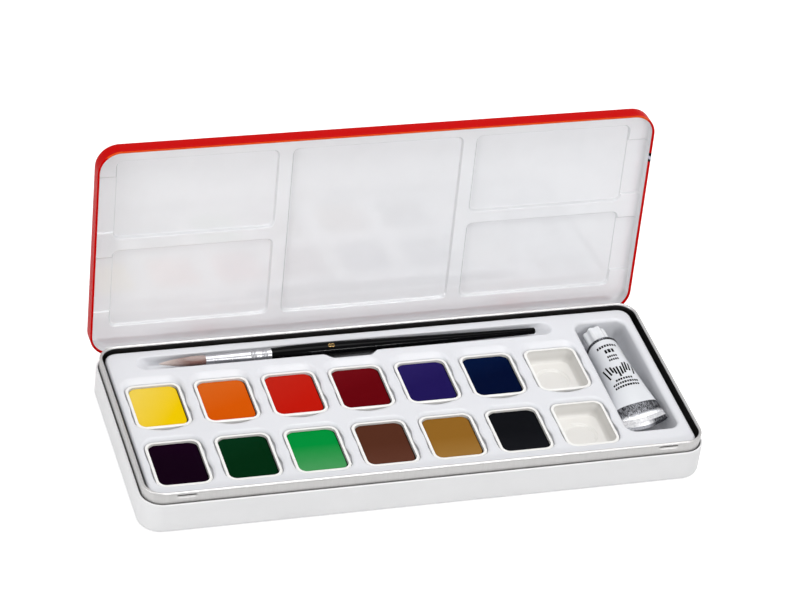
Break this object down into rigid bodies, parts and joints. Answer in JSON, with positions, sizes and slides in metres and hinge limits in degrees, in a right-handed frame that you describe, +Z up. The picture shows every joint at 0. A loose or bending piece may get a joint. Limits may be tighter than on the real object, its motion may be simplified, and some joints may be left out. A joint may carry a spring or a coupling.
{
  "type": "gouache paint set box",
  "caption": "Hinged tin paint box with a mixing palette in its lid, a lift-out tray of gouache pans, a round brush in a groove and a screw-cap tube of white.",
  "frame": {"origin": "centre of the tin's underside", "axes": "+Z up, +X along the front edge, +Y towards the hinge"},
  "size_m": [0.2728, 0.1317, 0.1246],
  "materials": {
    "base_white": "satin white stove enamel",
    "neck_tinplate": "bare drawn tinplate",
    "lid_red": "red enamel, semi-gloss",
    "palette_enamel": "glossy white enamel",
    "pin_steel": "steel wire",
    "tray_white": "vacuum-formed white plastic, satin",
    "pan_ivory": "moulded ivory plastic",
    "hair_brown": "fine brown hair",
    "ferrule_metal": "polished nickel-plated ferrule",
    "handle_black": "turned wood, black gloss lacquer",
    "tube_metal": "aluminium, pale grey lacquer with bare folded end",
    "tube_white": "white gouache paste",
    "cap_clear": "translucent white plastic",
    "cake_yellow": "pressed gouache, satin",
    "cake_orange": "pressed gouache, satin",
    "cake_red": "pressed gouache, satin",
    "cake_carmine": "pressed gouache, satin",
    "cake_violet": "pressed gouache, satin",
    "cake_navy": "pressed gouache, satin",
    "cake_purple": "pressed gouache, satin",
    "cake_dark_green": "pressed gouache, satin",
    "cake_green": "pressed gouache, satin",
    "cake_brown": "pressed gouache, satin",
    "cake_ochre": "pressed gouache, satin",
    "cake_black": "pressed gouache, satin"
  },
  "bodies": {
    "base": {"base_pan": "base_white", "neck_band": "neck_tinplate", "hinge_pin_left": "pin_steel", "hinge_pin_right": "pin_steel"},
    "lid": {"lid_shell": "lid_red", "lid_palette": "palette_enamel"},
    "tray": {"insert_tray": "tray_white"},
    "brush": {"brush_hair": "hair_brown", "brush_ferrule": "ferrule_metal", "brush_handle": "handle_black"},
    "tube": {"tube_body": "tube_metal", "tube_paint": "tube_white"},
    "tube_cap": {"tube_cap": "cap_clear"},
    "pan_yellow": {"pan_yellow": "pan_ivory", "paint_yellow": "cake_yellow"},
    "pan_orange": {"pan_orange": "pan_ivory", "paint_orange": "cake_orange"},
    "pan_red": {"pan_red": "pan_ivory", "paint_red": "cake_red"},
    "pan_carmine": {"pan_carmine": "pan_ivory", "paint_carmine": "cake_carmine"},
    "pan_violet": {"pan_violet": "pan_ivory", "paint_violet": "cake_violet"},
    "pan_navy": {"pan_navy": "pan_ivory", "paint_navy": "cake_navy"},
    "pan_spare_rear": {"pan_spare_rear": "pan_ivory"},
    "pan_purple": {"pan_purple": "pan_ivory", "paint_purple": "cake_purple"},
    "pan_dark_green": {"pan_dark_green": "pan_ivory", "paint_dark_green": "cake_dark_green"},
    "pan_green": {"pan_green": "pan_ivory", "paint_green": "cake_green"},
    "pan_brown": {"pan_brown": "pan_ivory", "paint_brown": "cake_brown"},
    "pan_ochre": {"pan_ochre": "pan_ivory", "paint_ochre": "cake_ochre"},
    "pan_black": {"pan_black": "pan_ivory", "paint_black": "cake_black"},
    "pan_spare_front": {"pan_spare_front": "pan_ivory"}
  },
  "joints": [
    {"name": "lid_hinge", "type": "hinge", "parent": "base", "child": "lid", "pos_m": [0, 0.0559, 0.0132], "axis": [-1, 0, 0], "range_deg": [-94, 0]},
    {"name": "tray_lift", "type": "slide", "parent": "base", "child": "tray", "axis": [0, 0, 1], "range_m": [0, 0.03]},
    {"name": "brush_lift", "type": "slide", "parent": "tray", "child": "brush", "axis": [0, 0, 1], "range_m": [0, 0.015]},
    {"name": "tube_lift", "type": "slide", "parent": "tray", "child": "tube", "axis": [0, 0, 1], "range_m": [0, 0.02]},
    {"name": "cap_turn", "type": "hinge", "parent": "tube", "child": "tube_cap", "pos_m": [0.11224, 0.03687, 0.013], "axis": [-0.0419, 0.9991, 0], "range_deg": [0, 720]},
    {"name": "yellow_pan_lift", "type": "slide", "parent": "tray", "child": "pan_yellow", "axis": [0, 0, 1], "range_m": [0, 0.015]},
    {"name": "orange_pan_lift", "type": "slide", "parent": "tray", "child": "pan_orange", "axis": [0, 0, 1], "range_m": [0, 0.015]},
    {"name": "red_pan_lift", "type": "slide", "parent": "tray", "child": "pan_red", "axis": [0, 0, 1], "range_m": [0, 0.015]},
    {"name": "carmine_pan_lift", "type": "slide", "parent": "tray", "child": "pan_carmine", "axis": [0, 0, 1], "range_m": [0, 0.015]},
    {"name": "violet_pan_lift", "type": "slide", "parent": "tray", "child": "pan_violet", "axis": [0, 0, 1], "range_m": [0, 0.015]},
    {"name": "navy_pan_lift", "type": "slide", "parent": "tray", "child": "pan_navy", "axis": [0, 0, 1], "range_m": [0, 0.015]},
    {"name": "spare_rear_pan_lift", "type": "slide", "parent": "tray", "child": "pan_spare_rear", "axis": [0, 0, 1], "range_m": [0, 0.015]},
    {"name": "purple_pan_lift", "type": "slide", "parent": "tray", "child": "pan_purple", "axis": [0, 0, 1], "range_m": [0, 0.015]},
    {"name": "dark_green_pan_lift", "type": "slide", "parent": "tray", "child": "pan_dark_green", "axis": [0, 0, 1], "range_m": [0, 0.015]},
    {"name": "green_pan_lift", "type": "slide", "parent": "tray", "child": "pan_green", "axis": [0, 0, 1], "range_m": [0, 0.015]},
    {"name": "brown_pan_lift", "type": "slide", "parent": "tray", "child": "pan_brown", "axis": [0, 0, 1], "range_m": [0, 0.015]},
    {"name": "ochre_pan_lift", "type": "slide", "parent": "tray", "child": "pan_ochre", "axis": [0, 0, 1], "range_m": [0, 0.015]},
    {"name": "black_pan_lift", "type": "slide", "parent": "tray", "child": "pan_black", "axis": [0, 0, 1], "range_m": [0, 0.015]},
    {"name": "spare_front_pan_lift", "type": "slide", "parent": "tray", "child": "pan_spare_front", "axis": [0, 0, 1], "range_m": [0, 0.015]}
  ]
}
